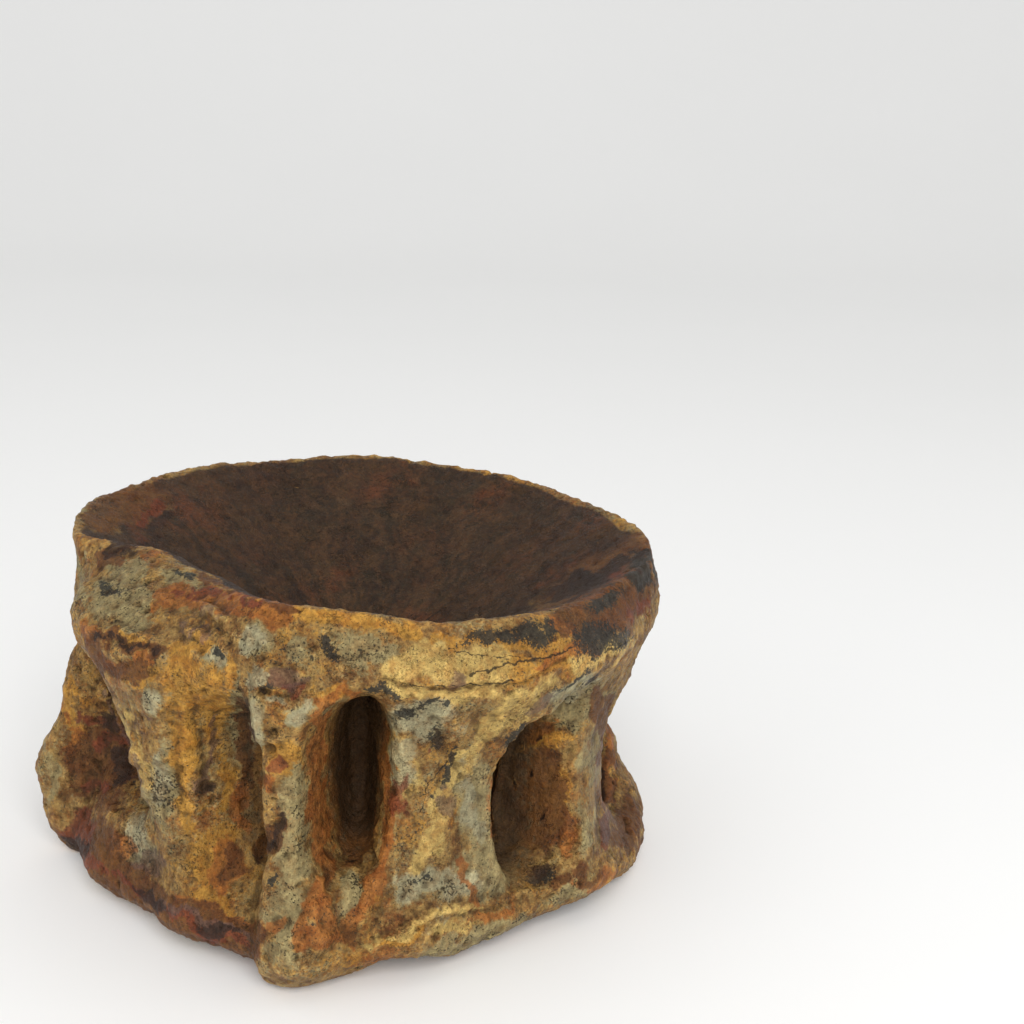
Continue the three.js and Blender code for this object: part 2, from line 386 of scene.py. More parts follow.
SMOOTH_SPOTS = {
    # the worn stretches: middle, half size, tilt
    "front rim": ((450, 662), (130, 30), 8),
    "front column": ((440, 790), (56, 110), 0),
    "right rim": ((590, 640), (70, 40), 25),
    "right column": ((590, 800), (40, 90), 0),
}


def crumbs(points, size):
    """Rounded crumbs with sharp creases between them, from 0 in a crease to about 1 on top."""
    places = (points / size).tolist()
    nearest = np.array([noise.voronoi(place)[0][:2] for place in places])
    return np.minimum(1, CREASE_SHARPNESS * (nearest[:, 1] - nearest[:, 0]))


def crest_radius(surface):
    """How far from the axis the upper rim is highest, at each point's angle."""
    angles = np.arange(-180, 180, CREST_STEP)
    crest = []
    for angle in angles:
        near = np.abs((surface.angle - angle + 180) % 360 - 180) < CREST_STEP
        on_rim = np.flatnonzero(near & (surface.radius > RIM_STARTS))
        crest.append(surface.radius[on_rim[surface.height[on_rim].argmax()]])
    return np.interp(surface.angle, angles, crest, period=360)


def in_cups(surface):
    """1 inside the two cupped ends, 0 on the side of the bone."""
    rim = np.where(surface.height > MIDDLE_HEIGHT, crest_radius(surface), LOWER_RIM_RADIUS)
    return smoothstep(rim - surface.radius, *CREST_SOFT) * smoothstep(-surface.outward, *INWARD_SOFT)


def smooth_share(surface):
    share = np.zeros(len(surface.points))
    for at, size, tilt in SMOOTH_SPOTS.values():
        share = np.maximum(share, oval(surface, at, size, tilt))
    return share


def weather(surface):
    points = surface.points
    cups = in_cups(surface)
    rough = (1 - WORN_SMOOTH * smooth_share(surface)) * (1 - CUP_SMOOTH * cups)
    crumbly = smoothstep(fractal(points, **CRUMBLY), *CRUMBLY_LEVELS)
    rise = SWELLING_HEIGHT * fractal(points, **SWELLINGS)
    rise += CRUMB_HEIGHT * rough * crumbly * crumbs(points, CRUMB_MM)
    for height, layer in ROUGH_LAYERS.values():
        rise += height * rough * fractal(points, **layer)
    for depth, levels, layer in HOLE_LAYERS.values():
        rise -= depth * rough * smoothstep(fractal(points, **layer), *levels)
    rise += STRAND_HEIGHT * (1 - cups) * fractal(points * np.array(STRAND_STRETCH), **STRANDS)
    rings = np.sin(surface.radius * math.tau / RING_MM + RING_WANDER * fractal(points, **WANDER))
    return rise + RING_HEIGHT * cups * rings


weathered = weather(surface)
standing = 1 - smoothstep(surface.height, 0.0, STANDING_MM)
rise = (marked + weathered) * (1 - standing)
write_points(bone.data, surface.points + surface.normals * rise[:, None])
print("weathering moves points by up to", np.abs(weathered).max().round(2), "mm")

# %% [markdown]
# Crisper edges
#
# A net of small squares rounds every edge off a little. Smoothing the net shows by how much each edge
# would sink and each crease would fill. Moving the points by a share of that the other way makes edges
# crisp and creases deep, as the sharpening of a picture does.

# %% Sharpen the carved net
SHARPEN_ROUNDS, SHARPEN_SHARE = 24, 0.45


def mesh_edges(mesh):
    ends = np.empty(len(mesh.edges) * 2, np.int32)
    mesh.edges.foreach_get("vertices", ends)
    return ends.reshape(-1, 2)


def spread_out(values, edges, rounds):
    """Each value moves half way to the average of its neighbours', as many times as rounds says."""
    count = np.bincount(edges.ravel(), minlength=len(values)).astype(float)
    for _ in range(rounds):
        total = np.bincount(edges[:, 0], values[edges[:, 1]], len(values))
        total += np.bincount(edges[:, 1], values[edges[:, 0]], len(values))
        values = 0.5 * values + 0.5 * total / count
    return values


def lift_by_smoothing(mesh, rounds):
    """How far smoothing lifts each point: above 0 in a crease, below 0 on an edge."""
    points, edges = read_points(mesh), mesh_edges(mesh)
    smoothed = np.stack([spread_out(points[:, axis], edges, rounds) for axis in range(3)], 1)
    return np.einsum("ij,ij->i", smoothed - points, read_normals(mesh))


lift = lift_by_smoothing(bone.data, SHARPEN_ROUNDS) * (1 - standing)
sharpened = read_points(bone.data) - SHARPEN_SHARE * lift[:, None] * read_normals(bone.data)
write_points(bone.data, sharpened)
print("sharpening moves points by up to", (SHARPEN_SHARE * np.abs(lift).max()).round(2), "mm")

# %% [markdown]
# Fewer triangles where it is smooth
#
# The carved net has many more points than it needs. Decimation takes away those that carry little shape
# and leaves the others, so edges and pores stay sharp in a mesh that is light enough to hand on.

# %% Thin the net out
MOST_TRIANGLES = 195_000


def thin_out(piece, triangles):
    thinning = piece.modifiers.new("thinning", "DECIMATE")
    thinning.ratio = triangles / (2 * len(piece.data.polygons))
    thinning.use_collapse_triangulate = True
    apply_modifiers(piece)
    piece.data.shade_smooth()


thin_out(bone, MOST_TRIANGLES)
surface = Surface(bone.data)
bone_tree = BVHTree.FromObject(bone, bpy.context.evaluated_depsgraph_get())
print("the bone has", len(bone.data.polygons), "triangles")

# %% [markdown]
# Stains painted as weights
#
# Minerals have stained the bone in patches: grey-green and pale grey sandstone still stuck to it, cream
# bone, ochre, orange, rust and red from iron, purple and blue-black from manganese. Painting them as
# finished colours would fix their edges to the net. Here each stain is only a weight on the points, soft
# and ragged, and the material later breaks its edge into grains. Patches are ovals in the photograph,
# streaks are lines.
# Some dark patches are painted shade: beside the front strut, and partly in the left fossa.

# %% Say where each stain lies in patches
STAINS = {
    # name: how much of it there is all over, and how much that varies
    "ochre": (0.4, 0.4),
    "grey_green": (0.36, 0.42),
    "cream": (0.12, 0.3),
    "orange": (0.3, 0.4),
    "rust": (0.24, 0.4),
    "red": (0.08, 0.3),
    "purple": (0.06, 0.3),
    "blue_black": (0.1, 0.28),
    "dark": (0.1, 0.28),
    "pale_grey": (0.1, 0.3),
}
PATCHES = {
    # name: middle, half size, tilt
    "ochre": {
        "wall beside the plaque": ((180, 674), (24, 42), 0),
        "wall below the plaque": ((182, 745), (13, 52), 0),
        "wall, low": ((184, 812), (12, 34), 4),
        "recess, left": ((214, 704), (17, 52), 0),
        "recess, middle": ((226, 785), (9, 40), 0),
        "recess foot": ((214, 856), (30, 40), -12),
        "foot band": ((216, 902), (32, 14), -22),
        "far left column": ((72, 716), (9, 54), 4),
        "front rim, left": ((286, 612), (44, 10), -12),
        "front rim, middle": ((340, 622), (32, 9), -10),
        "over the front pit": ((335, 692), (28, 9), 6),
        "strut face, high": ((286, 762), (20, 24), 0),
        "ledge": ((128, 640), (26, 5), -6),
        "crumbly ledge": ((140, 672), (26, 14), 0),
        "right pit shelf": ((548, 742), (26, 14), 20),
        "rim crust": ((556, 644), (34, 10), 10),
        "rim, above the cream": ((470, 640), (30, 8), 6),
        "right pit, far wall": ((556, 800), (20, 40), 0),
        "lower rim": ((402, 934), (30, 8), 26),
        "column foot": ((468, 884), (12, 16), 0),
        "shoulder top": ((100, 524), (30, 10), 14),
        "left foot": ((112, 850), (14, 20), 10),
    },
    "grey_green": {
        "plaque": ((150, 701), (17, 16), 0),
        "shoulder": ((124, 600), (40, 26), -10),
        "shoulder, high": ((126, 566), (30, 14), -6),
        "shoulder, low": ((130, 624), (26, 9), 0),
        "shoulder, right": ((182, 580), (22, 11), -22),
        "wall spot": ((216, 658), (9, 13), 10),
        "over the recess": ((258, 640), (17, 22), 0),
        "recess shade": ((240, 720), (9, 54), 0),
        "wall below the plaque": ((164, 746), (13, 13), 0),
        "left ridge": ((160, 784), (14, 40), 4),
        "left ridge, low": ((152, 800), (12, 26), 8),
        "left foot": ((142, 846), (17, 28), 18),
        "strut edge, top": ((257, 726), (12, 34), 0),
        "beside the knob": ((298, 715), (18, 12), 25),
        "strut, middle": ((294, 804), (17, 44), 0),
        "strut, face": ((290, 856), (20, 40), 0),
        "strut, foot": ((286, 914), (24, 40), 0),
        "strut, sole": ((284, 954), (24, 12), 0),
        "right of the wedge": ((350, 890), (15, 28), -12),
        "rim, left": ((302, 655), (18, 16), 0),
        "rim, speckled": ((366, 650), (36, 16), -6),
        "column, right face": ((476, 800), (25, 72), 8),
        "column foot, right": ((484, 872), (44, 28), 10),
        "column foot": ((430, 888), (46, 18), 4),
        "column, high": ((422, 718), (38, 17), 0),
        "over the right pit": ((578, 702), (40, 22), 26),
        "right of the right pit": ((592, 756), (11, 36), 0),
        "right pillar": ((586, 834), (8, 36), 0),
        "foot, right": ((574, 892), (44, 9), 18),
        "lower rim, underside": ((480, 938), (84, 13), 19),
        "far left edge": ((48, 772), (8, 42), 8),
        "shoulder edge": ((80, 584), (7, 42), 4),
        "shoulder top": ((92, 510), (24, 12), 30),
    },
    "cream": {
        "front rim, bare spot": ((424, 652), (20, 14), 0),
        "column, left face": ((402, 762), (13, 28), 0),
        "column, left streak": ((412, 776), (8, 26), -6),
        "right rim, fleck": ((554, 603), (12, 4), 8),
        "lower rim": ((452, 926), (34, 8), 14),
    },
    "orange": {
        "wedge foot": ((322, 940), (20, 17), 0),
        "ledge corner": ((94, 628), (10, 14), 0),
        "crumbly ledge": ((116, 664), (18, 10), -8),
        "crumbly ledge, right": ((142, 658), (14, 7), -8),
        "recess foot": ((226, 868), (18, 32), -16),
        "recess, middle": ((240, 806), (9, 26), 0),
        "far left column": ((71, 742), (8, 40), 2),
        "fossa, high": ((112, 736), (18, 8), 0),
        "fossa, low": ((96, 786), (18, 7), 0),
        "rim crust": ((562, 628), (14, 12), 0),
        "rim crust, right": ((612, 616), (28, 12), 22),
        "rim crust, low": ((584, 648), (24, 8), 22),
        "rim, right of the cream": ((550, 664), (22, 7), 10),
        "rim, red corner": ((632, 602), (18, 18), 0),
        "rim, inner right": ((596, 590), (30, 9), 22),
        "rim, inner corner": ((628, 572), (14, 10), 30),
        "rim, inner left": ((140, 508), (16, 10), 40),
        "right pit shelf": ((540, 732), (22, 8), 24),
        "right pit, far wall": ((566, 836), (10, 26), 0),
        "foot, right": ((598, 882), (26, 8), 20),
        "left foot": ((122, 842), (16, 14), 0),
        "strut sole": ((274, 925), (13, 7), 24),
        "shoulder spot": ((152, 560), (9, 7), 0),
        "strut face": ((268, 786), (8, 14), 0),
        "lower rim": ((486, 914), (32, 7), 14),
    },
    "rust": {
        "crumbly ledge": ((124, 668), (28, 14), -4),
        "ledge corner": ((97, 656), (9, 32), 0),
        "fossa": ((102, 762), (46, 52), 0),
        "lower left": ((92, 838), (34, 28), -10),
        "left foot": ((122, 866), (32, 16), -30),
        "lower band, left": ((110, 874), (42, 13), -33),
        "lower band, middle": ((170, 908), (42, 16), -27),
        "lower band, right": ((226, 936), (36, 15), -22),
        "rim crust, low": ((570, 636), (30, 8), 12),
        "rim crust, right": ((606, 604), (58, 34), 25),
        "strut chip": ((270, 842), (13, 28), -22),
        "front pit": ((354, 790), (30, 84), 0),
        "right pit": ((540, 800), (36, 64), 0),
        "recess shade": ((244, 742), (8, 64), 0),
        "recess foot": ((234, 862), (8, 26), -20),
        "right foot": ((630, 828), (18, 36), 0),
        "rim, inner right": ((604, 580), (84, 42), 28),
        "rim, inner left": ((126, 508), (56, 26), 18),
        "shoulder, high": ((110, 556), (26, 10), 6),
    },
    "red": {
        "rim corner": ((641, 610), (12, 15), 0),
        "rim, inner right": ((606, 576), (24, 8), 12),
        "rim, inner left": ((148, 512), (18, 8), 40),
        "shoulder": ((206, 590), (24, 5), -24),
        "lower left": ((80, 832), (17, 22), 0),
        "fossa, high": ((110, 742), (20, 7), 0),
        "fossa, left": ((90, 720), (12, 6), 0),
        "fossa, low": ((96, 787), (16, 6), 0),
        "right column": ((606, 832), (7, 24), 0),
        "strut edge": ((278, 768), (8, 12), 0),
        "knob side": ((296, 690), (12, 8), 0),
        "column spot": ((427, 752), (6, 5), 0),
        "front pit, right side": ((400, 800), (8, 30), -8),
    },
    "purple": {
        "knob": ((280, 680), (20, 11), -12),
        "knob side": ((300, 682), (9, 6), -12),
        "flake": ((212, 613), (20, 5), -28),
        "second flake": ((196, 632), (18, 6), -30),
        "left foot": ((150, 866), (18, 12), -30),
        "column seam": ((446, 802), (6, 20), 0),
        "rim, knot": ((460, 680), (9, 6), 0),
        "right column": ((608, 826), (7, 26), 0),
        "over the right pit": ((544, 702), (20, 5), 30),
        "wall spot": ((150, 722), (7, 4), 0),
        "recess dent": ((206, 786), (10, 12), 20),
    },
    "blue_black": {
        "rim crust, left": ((488, 638), (36, 11), 6),
        "rim crust": ((532, 632), (26, 15), 8),
        "rim crust, right": ((597, 638), (36, 20), 14),
        "rim corner": ((642, 568), (16, 20), 0),
        "rim, inner right": ((600, 600), (24, 8), 24),
        "rim, inner top": ((586, 578), (22, 8), 16),
        "beside the rim": ((386, 692), (18, 6), -22),
        "column, high": ((412, 712), (22, 9), 10),
        "column, under the rim": ((440, 704), (20, 5), 0),
        "column, middle": ((432, 736), (9, 12), 20),
        "over the front pit": ((330, 652), (13, 6), -22),
        "knob": ((267, 687), (9, 6), 0),
        "shoulder": ((108, 590), (10, 6), -6),
        "shoulder top": ((144, 545), (14, 4), 14),
        "shoulder, right": ((184, 575), (10, 4), -20),
        "wall spot": ((217, 652), (6, 5), 0),
        "wall spot, low": ((172, 752), (6, 6), 0),
        "column foot": ((424, 882), (12, 5), 0),
        "foot, right": ((544, 876), (18, 7), 12),
        "strut spot": ((272, 882), (4, 6), 0),
        "lower rim, underside": ((500, 940), (40, 6), 22),
        "under the rim, right": ((576, 680), (28, 6), 30),
        "recess dent": ((210, 790), (7, 5), 20),
    },
    "dark": {
        # partly painted shade: dark brown in the corner and top of the left fossa, over its rust stain
        "fossa, corner, partly painted shade": ((122, 768), (14, 24), 0),
        "fossa, top, partly painted shade": ((106, 722), (16, 16), 0),
        "lower left": ((74, 848), (12, 18), 0),
        "shoulder top": ((118, 548), (26, 7), 4),
        "recess dent": ((208, 790), (5, 4), 20),
        "rim, inner right": ((580, 586), (44, 15), 20),
        "rim corner": ((622, 562), (24, 7), 20),
        "rim, inner left": ((164, 516), (16, 8), 40),
        "foot, right": ((546, 868), (14, 6), 10),
        "lower band, left": ((150, 900), (30, 7), -28),
        "lower band, right": ((214, 930), (26, 7), -20),
    },
    "pale_grey": {
        "column, high": ((424, 716), (46, 20), 0),
        "column, left": ((402, 764), (13, 30), 0),
        "column, right": ((470, 800), (9, 44), 8),
        "column foot": ((440, 886), (58, 17), 4),
        "strut edge, top": ((256, 730), (9, 30), 0),
        "beside the knob": ((298, 715), (16, 10), 25),
        "plaque": ((150, 701), (15, 14), 0),
        "left ridge": ((158, 780), (10, 30), 4),
        "left foot": ((142, 838), (13, 26), 14),
        "knob": ((257, 676), (9, 12), 0),
        "under the knob": ((280, 702), (12, 6), 0),
        "wall spot": ((216, 656), (9, 12), 10),
        "over the recess": ((254, 640), (13, 17), 0),
        "lower rim, underside": ((500, 936), (72, 11), 20),
        "under the rim, right": ((574, 690), (34, 10), 28),
    },
}

# %% Say where stains run in streaks
STREAKS = {
    # name: pixels, half width in pixels
    "ochre": {
        "rim crest, left": ([(244, 598), (300, 610), (360, 620), (420, 632)], 10),
        "front rim, right": ([(500, 668), (540, 666), (584, 658)], 16),
        "rim under the crest": ([(440, 640), (500, 648), (560, 644)], 9),
        "over the recess": ([(196, 640), (228, 660), (236, 690)], 9),
    },
    "cream": {
        "front rim": ([(392, 668), (430, 660), (480, 668), (496, 668)], 22),
        "left ridge": ([(118, 712), (134, 746), (148, 784)], 8),
        "flake": ([(200, 606), (226, 620)], 6),
        "front rim, lower": ([(388, 684), (440, 693), (500, 692), (548, 684)], 9),
        "right rim": ([(578, 666), (604, 656), (628, 640)], 9),
        "column": ([(520, 694), (480, 736), (446, 790), (428, 848)], 13),
        "column, low": ([(440, 800), (424, 846), (418, 868)], 13),
        "column, right": ([(540, 696), (506, 728)], 7),
        "lower rim edge": ([(366, 950), (396, 931), (432, 914), (482, 902)], 4),
    },
    "orange": {
        "wedge, left": ([(318, 880), (306, 942)], 11),
        "wedge, right": ([(318, 880), (336, 938)], 11),
        "band beside the front pit": ([(398, 800), (388, 852), (364, 906), (346, 940)], 11),
        "front pit, left wall": ([(324, 716), (316, 800), (324, 868)], 12),
        "over the front pit": ([(316, 704), (344, 689), (374, 702)], 8),
        "front pit, right lip": ([(382, 730), (390, 800)], 7),
        "shoulder": ([(158, 602), (196, 594), (240, 604), (286, 614)], 15),
        "right column edge": ([(606, 715), (612, 760), (607, 806)], 7),
        "column foot": ([(460, 864), (466, 890), (474, 906)], 6),
        "right pit, left lip": ([(496, 780), (492, 830)], 8),
        "lower band": ([(176, 892), (216, 914), (246, 922)], 8),
    },
    "rust": {
        "ledge": ([(95, 634), (125, 644), (162, 649)], 8),
        "lower band": ([(72, 846), (124, 886), (172, 910), (246, 940)], 28),
        "lower edge": ([(76, 864), (140, 906), (196, 940), (248, 954)], 14),
        "right of the right pit": ([(600, 700), (606, 760), (604, 800)], 13),
        "rim crest, left": ([(196, 572), (252, 600), (300, 612)], 4),
        "right foot": ([(556, 884), (600, 872)], 7),
    },
    "red": {
        "lower band": ([(80, 850), (130, 890), (200, 930), (246, 948)], 6),
        "shoulder": ([(176, 596), (222, 592), (262, 604)], 3),
    },
    "purple": {
        "left ridge": ([(102, 690), (120, 724), (134, 756), (142, 786)], 5),
        "recess": ([(214, 716), (209, 752), (206, 788)], 5),
        "lower band": ([(150, 898), (200, 920), (244, 938)], 7),
    },
    "blue_black": {
        "column crack": ([(452, 758), (442, 788), (424, 812)], 4),
        "right pit, upper lip": ([(506, 740), (522, 722)], 6),
    },
    "dark": {
        "ledge": ([(96, 636), (124, 644), (160, 649)], 3),
        "strut chip": ([(258, 868), (270, 840), (280, 812)], 5),
        # painted shade: dark brown down the recess beside the strut's left edge, where the strut shades it
        "recess corner, painted shade": ([(248, 700), (249, 790)], 7),
    },
}
STAIN_SIZE_MM, STAIN_SHIFT, STAIN_SHIFT_STEP = 6.0, 20.0, 13.7
MARKED_STAIN = 1.1
PATCH_CORE, STREAK_CORE = 0.4, 0.3
RAGGED_PIXELS = 12.0
KEPT_OF_DRAW, KEPT_UNDER_MARKS = 0.75, 0.35


def marked_stain(surface, name):
    patches, streaks = PATCHES[name].values(), STREAKS.get(name, {}).values()
    marks = [oval(surface, *patch, core=PATCH_CORE, ragged=RAGGED_PIXELS) for patch in patches]
    marks += [line(surface, *streak, core=STREAK_CORE, ragged=RAGGED_PIXELS) for streak in streaks]
    return MARKED_STAIN * np.max(marks, axis=0)


def stain_weights(surface):
    """The drawn stains all over, weaker where the photograph tells what is there, and the marked ones."""
    shown = smoothstep(surface.facing, *FACING_SOFT) * (1 - in_cups(surface))
    marks = {name: marked_stain(surface, name) for name in STAINS}
    told = np.max(list(marks.values()), axis=0)
    kept = (1 - (1 - KEPT_OF_DRAW) * shown) * (1 - (1 - KEPT_UNDER_MARKS) * told)
    weights = {}
    for number, (name, (level, spread)) in enumerate(STAINS.items()):
        shift = STAIN_SHIFT + STAIN_SHIFT_STEP * number
        drawn = fractal(surface.points, STAIN_SIZE_MM, shift=shift)
        weights[name] = np.maximum((level + spread * drawn) * kept, marks[name])
    return weights


stains = stain_weights(surface)
print("stains:", {name: round(float(weight.mean()), 2) for name, weight in stains.items()})

# %% [markdown]
# Stains on the hidden sides
#
# Round the back nothing is known. Patches could be painted there by hand, but a seeded draw is quicker
# and the same each time. It lays patches of the same stains, each round a point of the net that faces
# away from the camera.

# %% Draw patches for the sides that the photograph hides
HIDDEN_SEED, HIDDEN_PATCHES = 41, 240
PATCH_MM, PATCH_STRETCH = (0.9, 3.6), (0.4, 1.3)
PATCH_RAGGED_MM, LOWEST_PATCH_MM = 1.7, 1.0
PATCH_FADE_FROM, PATCH_FADE_TO = 0.15, 1.25


def add_hidden_patches(surface, stains):
    draw = random.Random(HIDDEN_SEED)
    levels = [level for level, _ in STAINS.values()]
    hidden = np.flatnonzero((surface.facing < 0) & (surface.height > LOWEST_PATCH_MM))
    unseen = 1 - smoothstep(surface.facing, *FACING_SOFT)
    ragged = PATCH_RAGGED_MM * np.stack([surface.ragged_x, surface.ragged_y, surface.ragged_x], 1)
    for _ in range(HIDDEN_PATCHES):
        middle = surface.points[draw.choice(hidden)]
        name = draw.choices(list(stains), levels)[0]
        reach = draw.uniform(*PATCH_MM)
        stretch = np.array([1, 1, draw.uniform(*PATCH_STRETCH)])
        distance = np.linalg.norm((surface.points + ragged - middle) * stretch, axis=1)
        patch = 1 - smoothstep(distance, PATCH_FADE_FROM * reach, PATCH_FADE_TO * reach)
        stains[name] = np.maximum(stains[name], MARKED_STAIN * patch * unseen)


add_hidden_patches(surface, stains)
print("drew", HIDDEN_PATCHES, "patches on the hidden sides")

# %% [markdown]
# Depth and edges as weights
#
# Pit floors, small crevices and the cups are darkened in the material as painted shade, the cups also by
# their own dark red-brown stain, and wear cleans edges. How deep a point lies below the bone's outline
# tells the pits, and the side of the rim that it lies on tells the cups. Small crevices and edges show
# again when the net is smoothed.

# %% Measure hollows, crevices and edges
WAIST_HEIGHT, WAIST_RADIUS = 15.2, 26.0
RIM_RADIUS, FLARE_HEIGHT = 29.5, 11.8
CRUSTED_CUP = {
    # where stains cover the cup's dark red-brown and its painted shade: middle, half size, tilt
    "right rim": ((602, 584), (84, 42), 28),
    "left rim": ((124, 508), (54, 24), 18),
}
CREVICE_ROUNDS = 10
CREVICE_MM = 0.12
PIT_MM = (0.8, 6.5)
SIDE_FOOT, SIDE_TOP = (1.0, 4.0), (28.0, 30.5)


def hull_radius(height):
    """Radius of the bone's side where no hollow has been taken out of it."""
    flare = np.minimum(1, np.abs(height - WAIST_HEIGHT) / FLARE_HEIGHT)
    return WAIST_RADIUS + (RIM_RADIUS - WAIST_RADIUS) * flare**2


def hollow_weight(surface):
    below = hull_radius(surface.height) - surface.radius
    on_side = smoothstep(surface.height, *SIDE_FOOT) * (1 - smoothstep(surface.height, *SIDE_TOP))
    return smoothstep(below, *PIT_MM) * on_side * (1 - in_cups(surface))


# the cups' dark red-brown is partly stain and partly painted shade
def dark_cups(surface):
    crusts = [oval(surface, *spot, ragged=RAGGED_PIXELS) for spot in CRUSTED_CUP.values()]
    return in_cups(surface) * (1 - np.max(crusts, axis=0))


crevices = np.clip(lift_by_smoothing(bone.data, CREVICE_ROUNDS) / CREVICE_MM, -1, 1)
hollows = hollow_weight(surface)
print("deep points:", int((hollows > 0.5).sum()), "crevice points:", int((crevices > 0.5).sum()))

# %% Store the weights on the net


def store(mesh, name, values):
    layer = mesh.attributes.new(name, "FLOAT", "POINT")
    layer.data.foreach_set("value", values.astype(np.float32))


weights = {"stain_" + name: weight for name, weight in stains.items()}
weights |= {"crevice": crevices, "hollow": hollows}
weights |= {"cup": dark_cups(surface), "smooth": smooth_share(surface)}
for name, weight in weights.items():
    store(bone.data, name, weight)
print("stored", len(weights), "weights")

# %% [markdown]
# Node groups for the material
#
# The nodes could be laid out by hand in the shader editor, but helpers that name each kind keep a large
# tree readable. One group turns a stain's weight into a mask with a grainy edge, and every stain uses it
# with its own numbers. Another draws a hairline crack between two places, once for each stretch of a
# crack. A third holds the grain of the bone, from slow clouds to specks and fibres, which colour, gloss
# and bump share.

# %% Helpers to build node trees


def new_group(name, inputs, outputs):
    group = bpy.data.node_groups.new(name, "ShaderNodeTree")
    for socket, kind, value in inputs:
        made = group.interface.new_socket(socket, in_out="INPUT", socket_type=kind)
        if value is not None:
            made.default_value = value
    for socket, kind in outputs:
        group.interface.new_socket(socket, in_out="OUTPUT", socket_type=kind)
    return group, group.nodes.new("NodeGroupInput"), group.nodes.new("NodeGroupOutput")


def add_node(tree, kind, inputs=None, **settings):
    """A node with its settings, whose inputs are numbers or other nodes' outputs."""
    node = tree.nodes.new(kind)
    for setting, value in settings.items():
        setattr(node, setting, value)
    for socket, value in (inputs or {}).items():
        if isinstance(value, bpy.types.NodeSocket):
            tree.links.new(value, node.inputs[socket])
        else:
            node.inputs[socket].default_value = value
    return node


def math_node(tree, operation, *values):
    node = add_node(tree, "ShaderNodeMath", dict(enumerate(values)), operation=operation)
    return node.outputs[0]


def vector_node(tree, operation, *values):
    node = add_node(tree, "ShaderNodeVectorMath", dict(enumerate(values)), operation=operation)
    return node.outputs["Value" if operation in ("DOT_PRODUCT", "LENGTH") else "Vector"]


def scaled(tree, vector, factor):
    node = add_node(tree, "ShaderNodeVectorMath", {0: vector, "Scale": factor}, operation="SCALE")
    return node.outputs["Vector"]


def smooth_range(tree, value, low, high, low_out=0.0, high_out=1.0):
    node = add_node(
        tree, "ShaderNodeMapRange",
        {"Value": value, "From Min": low, "From Max": high, "To Min": low_out, "To Max": high_out},
        interpolation_type="SMOOTHSTEP",
    )
    return node.outputs["Result"]


def mix_colour(tree, factor, below, above):
    node = add_node(tree, "ShaderNodeMix", {"Factor": factor}, data_type="RGBA")
    below_socket, above_socket = node.inputs[6], node.inputs[7]
    for socket, value in ((below_socket, below), (above_socket, above)):
        if isinstance(value, bpy.types.NodeSocket):
            tree.links.new(value, socket)
        else:
            socket.default_value = value
    return node.outputs[2]


def noise_node(tree, place, scale, detail=6.0, roughness=0.6):
    inputs = {"Vector": place, "Scale": scale, "Detail": detail, "Roughness": roughness}
    return add_node(tree, "ShaderNodeTexNoise", inputs)


def noise_value(tree, place, scale, detail=6.0, roughness=0.6):
    return noise_node(tree, place, scale, detail, roughness).outputs["Fac"]


def linear(hex_colour):
    """A colour as seen on a screen, as the linear colour that a material takes."""
    parts = [int(hex_colour[k:k + 2], 16) / 255 for k in (0, 2, 4)]
    return (*[c / 12.92 if c <= 0.04045 else ((c + 0.055) / 1.055) ** 2.4 for c in parts], 1.0)


print("node helpers are ready")

# %% Group: a stain's mask with a grainy edge
NOISE_MEAN = MASK_EDGE = 0.5
BLOTCH_NOISE = {"scale": 0.42, "detail": 3.0}
EDGE_GRAIN_NOISE = {"detail": 4.0, "roughness": 0.75}


def grainy_edge_group():
    group, given, result = new_group(
        "grainy stain edge",
        [("Place", "NodeSocketVector", None), ("Weight", "NodeSocketFloat", 0.0),
         ("Seed", "NodeSocketFloat", 0.0), ("Blotches", "NodeSocketFloat", 1.5),
         ("Grains", "NodeSocketFloat", 1.0), ("Fineness", "NodeSocketFloat", 2.4),
         ("Softness", "NodeSocketFloat", 0.15)],
        [("Mask", "NodeSocketFloat")],
    )
    seeded = vector_node(group, "ADD", given.outputs["Place"], given.outputs["Seed"])
    blotch = math_node(group, "SUBTRACT", noise_value(group, seeded, **BLOTCH_NOISE), NOISE_MEAN)
    grains = noise_value(group, seeded, given.outputs["Fineness"], **EDGE_GRAIN_NOISE)
    grain = math_node(group, "SUBTRACT", grains, NOISE_MEAN)
    blotchy = math_node(group, "MULTIPLY_ADD", blotch, given.outputs["Blotches"], given.outputs["Weight"])
    ragged = math_node(group, "MULTIPLY_ADD", grain, given.outputs["Grains"], blotchy)
    low = math_node(group, "SUBTRACT", MASK_EDGE, given.outputs["Softness"])
    high = math_node(group, "ADD", MASK_EDGE, given.outputs["Softness"])
    group.links.new(smooth_range(group, ragged, low, high), result.inputs["Mask"])
    return group


grainy_edge = grainy_edge_group()
print("group:", grainy_edge.name)

# %% Group: grains and specks
GRAIN_NOISES = {
    # name: how closely the grains lie, detail, roughness
    "Cloud": (0.3, 5.0, 0.6),
    "Mottle": (0.8, 6.0, 0.7),
    "Grain": (2.8, 4.0, 0.75),
}
DOT_NOISE, CROWD_NOISE, FIBRE_NOISE = (4.6, 2.0, 0.5), (0.45, 3.0, 0.6), (1.7, 4.0, 0.65)
CROWDED_DOTS, SPECK_EDGE = (0.42, 0.7, -0.04, 0.14), (0.63, 0.73)
FIBRE_STRETCH = (1.0, 1.0, 0.14)


